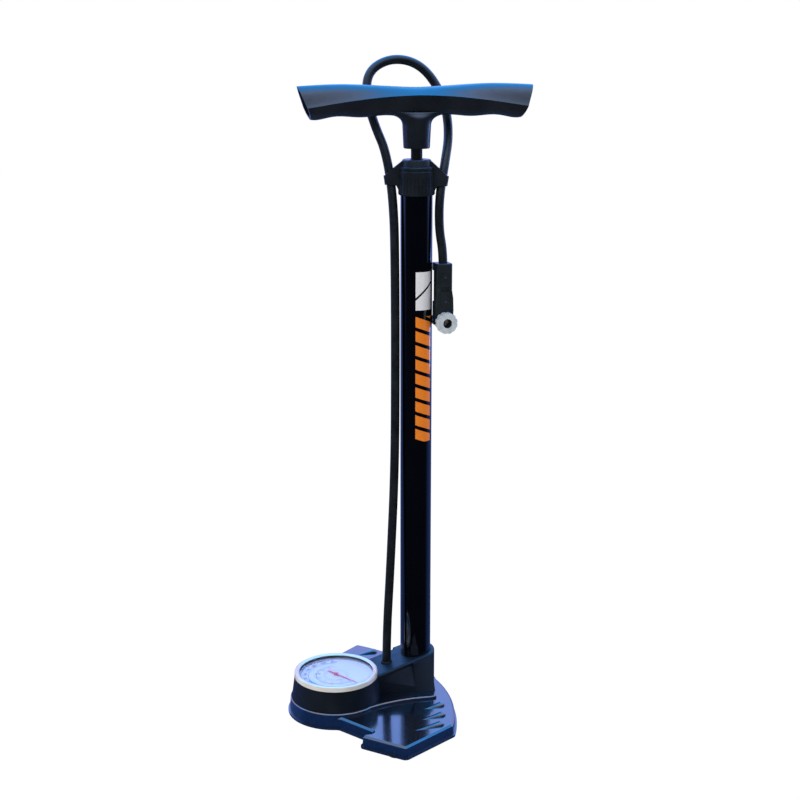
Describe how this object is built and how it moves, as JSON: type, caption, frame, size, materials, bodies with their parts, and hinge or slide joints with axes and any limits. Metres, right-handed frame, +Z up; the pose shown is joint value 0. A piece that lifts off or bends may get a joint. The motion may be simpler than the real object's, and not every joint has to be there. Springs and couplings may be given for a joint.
{
  "type": "floor bicycle pump",
  "caption": "Upright floor pump with a T handle, a gauge on its winged foot and a hose looped behind the handle to a clamp head.",
  "frame": {"origin": "on the barrel axis at floor level, on the central rubber pad", "axes": "+Z up along the barrel; the gauge lies towards -Y; the foot wings reach along +X and -X"},
  "size_m": [0.2469, 0.2584, 0.667],
  "materials": {
    "base_gloss": "polished black moulding",
    "pad_rubber": "soft black rubber",
    "steel": "zinc plated",
    "housing_plastic": "fine moulded grain",
    "natural_plastic": "unfilled acetal",
    "brass": "turned",
    "barrel_paint": "gloss black lacquer",
    "cap_plastic": "fine moulded grain",
    "rod_black": "satin black",
    "handle_plastic": "satin moulding",
    "gauge_metal": "grey lacquer",
    "dial_print": "printed white card face",
    "needle_red": "red lacquer",
    "lens_clear": "clear polished",
    "bezel_chrome": "bright plated",
    "hose_rubber": "smooth satin rubber",
    "head_plastic": "satin moulding",
    "nut_grey": "pale grey moulding"
  },
  "bodies": {
    "root": {"base_plate": "base_gloss", "floor_pads": "pad_rubber", "base_screws": "steel", "housing": "housing_plastic", "hose_grommet": "pad_rubber", "valve_block": "natural_plastic", "block_seal": "pad_rubber", "check_spring": "steel", "air_manifold": "natural_plastic", "hose_nipple": "brass", "barrel": "barrel_paint", "cap": "cap_plastic", "rod_guide": "natural_plastic", "rod_wiper": "pad_rubber", "rod_bumper": "pad_rubber", "gauge_case": "gauge_metal", "gauge_socket": "brass", "bourdon_tube": "brass", "movement_frame": "brass", "dial": "dial_print", "lens_seal": "pad_rubber", "lens": "lens_clear", "bezel": "bezel_chrome", "hose": "hose_rubber", "head_body": "head_plastic", "head_rivets": "steel", "head_nipple": "brass", "lever_pin": "steel", "valve_gland": "pad_rubber"},
    "check_valve": {"check_disc": "pad_rubber"},
    "piston": {"piston_body": "natural_plastic", "piston_seal": "pad_rubber", "wear_ring": "natural_plastic", "piston_screw": "steel"},
    "handle": {"handle": "handle_plastic", "rod_nut": "steel", "piston_rod": "rod_black"},
    "needle": {"needle": "needle_red", "needle_arbor": "brass"},
    "sector": {"sector_gear": "brass"},
    "lever": {"head_lever": "head_plastic"},
    "plunger": {"head_plunger": "natural_plastic", "core_pin": "brass"},
    "nut": {"lock_nut": "nut_grey"}
  },
  "joints": [
    {"name": "pump_stroke", "type": "slide", "parent": "root", "child": "piston", "axis": [0, 0, 1], "range_m": [0, 0.464]},
    {"name": "handle_turn", "type": "hinge", "parent": "piston", "child": "handle", "pos_m": [0, 0, 0.6], "axis": [0, 0, 1], "range_deg": [-8, 12]},
    {"name": "check_lift", "type": "slide", "parent": "root", "child": "check_valve", "axis": [0, 0, -1], "range_m": [0, 0.0015], "stiffness_N_per_m": 60, "springref_m": -0.002, "deforming": ["check_spring"]},
    {"name": "needle_turn", "type": "hinge", "parent": "root", "child": "needle", "pos_m": [0, -0.0936, 0.039], "axis": [0, 0, -1], "range_deg": [0, 220], "stiffness_Nm_per_rad": 0.0001, "springref_deg": -11.46},
    {"name": "sector_turn", "type": "hinge", "parent": "root", "child": "sector", "pos_m": [-0.01691, -0.08744, 0.0316], "axis": [0, 0, 1], "range_deg": [0, 44]},
    {"name": "lever_swing", "type": "hinge", "parent": "root", "child": "lever", "pos_m": [0.00728, 0.02304, 0.407], "axis": [-0.1822, -0.9833, 0], "range_deg": [0, 90]},
    {"name": "plunger_push", "type": "slide", "parent": "root", "child": "plunger", "axis": [0.9833, -0.1822, 0], "range_m": [0, 0.0012]},
    {"name": "nut_turn", "type": "hinge", "parent": "root", "child": "nut", "pos_m": [0.01672, 0.02129, 0.407], "axis": [0.9833, -0.1822, 0], "continuous": true}
  ],
  "couplings": [
    {"joint": "sector_turn", "follows": "needle_turn", "ratio": 0.2},
    {"joint": "plunger_push", "follows": "lever_swing", "m_per_rad": 0.00076393}
  ]
}
